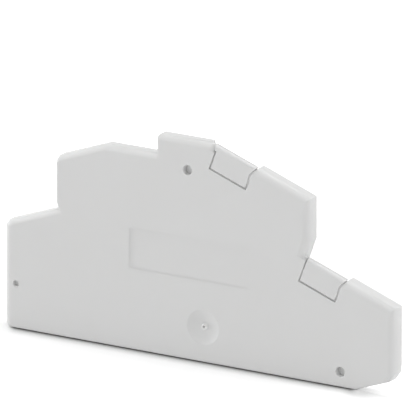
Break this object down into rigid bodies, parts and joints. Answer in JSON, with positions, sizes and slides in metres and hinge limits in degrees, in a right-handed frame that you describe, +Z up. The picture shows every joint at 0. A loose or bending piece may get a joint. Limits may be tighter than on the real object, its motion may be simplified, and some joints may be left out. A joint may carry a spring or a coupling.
{
  "type": "terminal block end cover",
  "caption": "Thin stepped end plate with rounded outer edges, scored marker grooves and latching pegs that closes the open side of a double-level terminal block.",
  "frame": {"origin": "middle of the underside of the cover's box, on the plane it stands on", "axes": "+X along the long bottom edge, +Y from the outer face through the plate to the pegs, +Z up to the raised top"},
  "size_m": [0.068, 0.0046, 0.0344],
  "materials": {
    "light_grey_polyamide": "smooth matte moulding"
  },
  "bodies": {
    "root": {"end_cover": "light_grey_polyamide"}
  },
  "joints": []
}
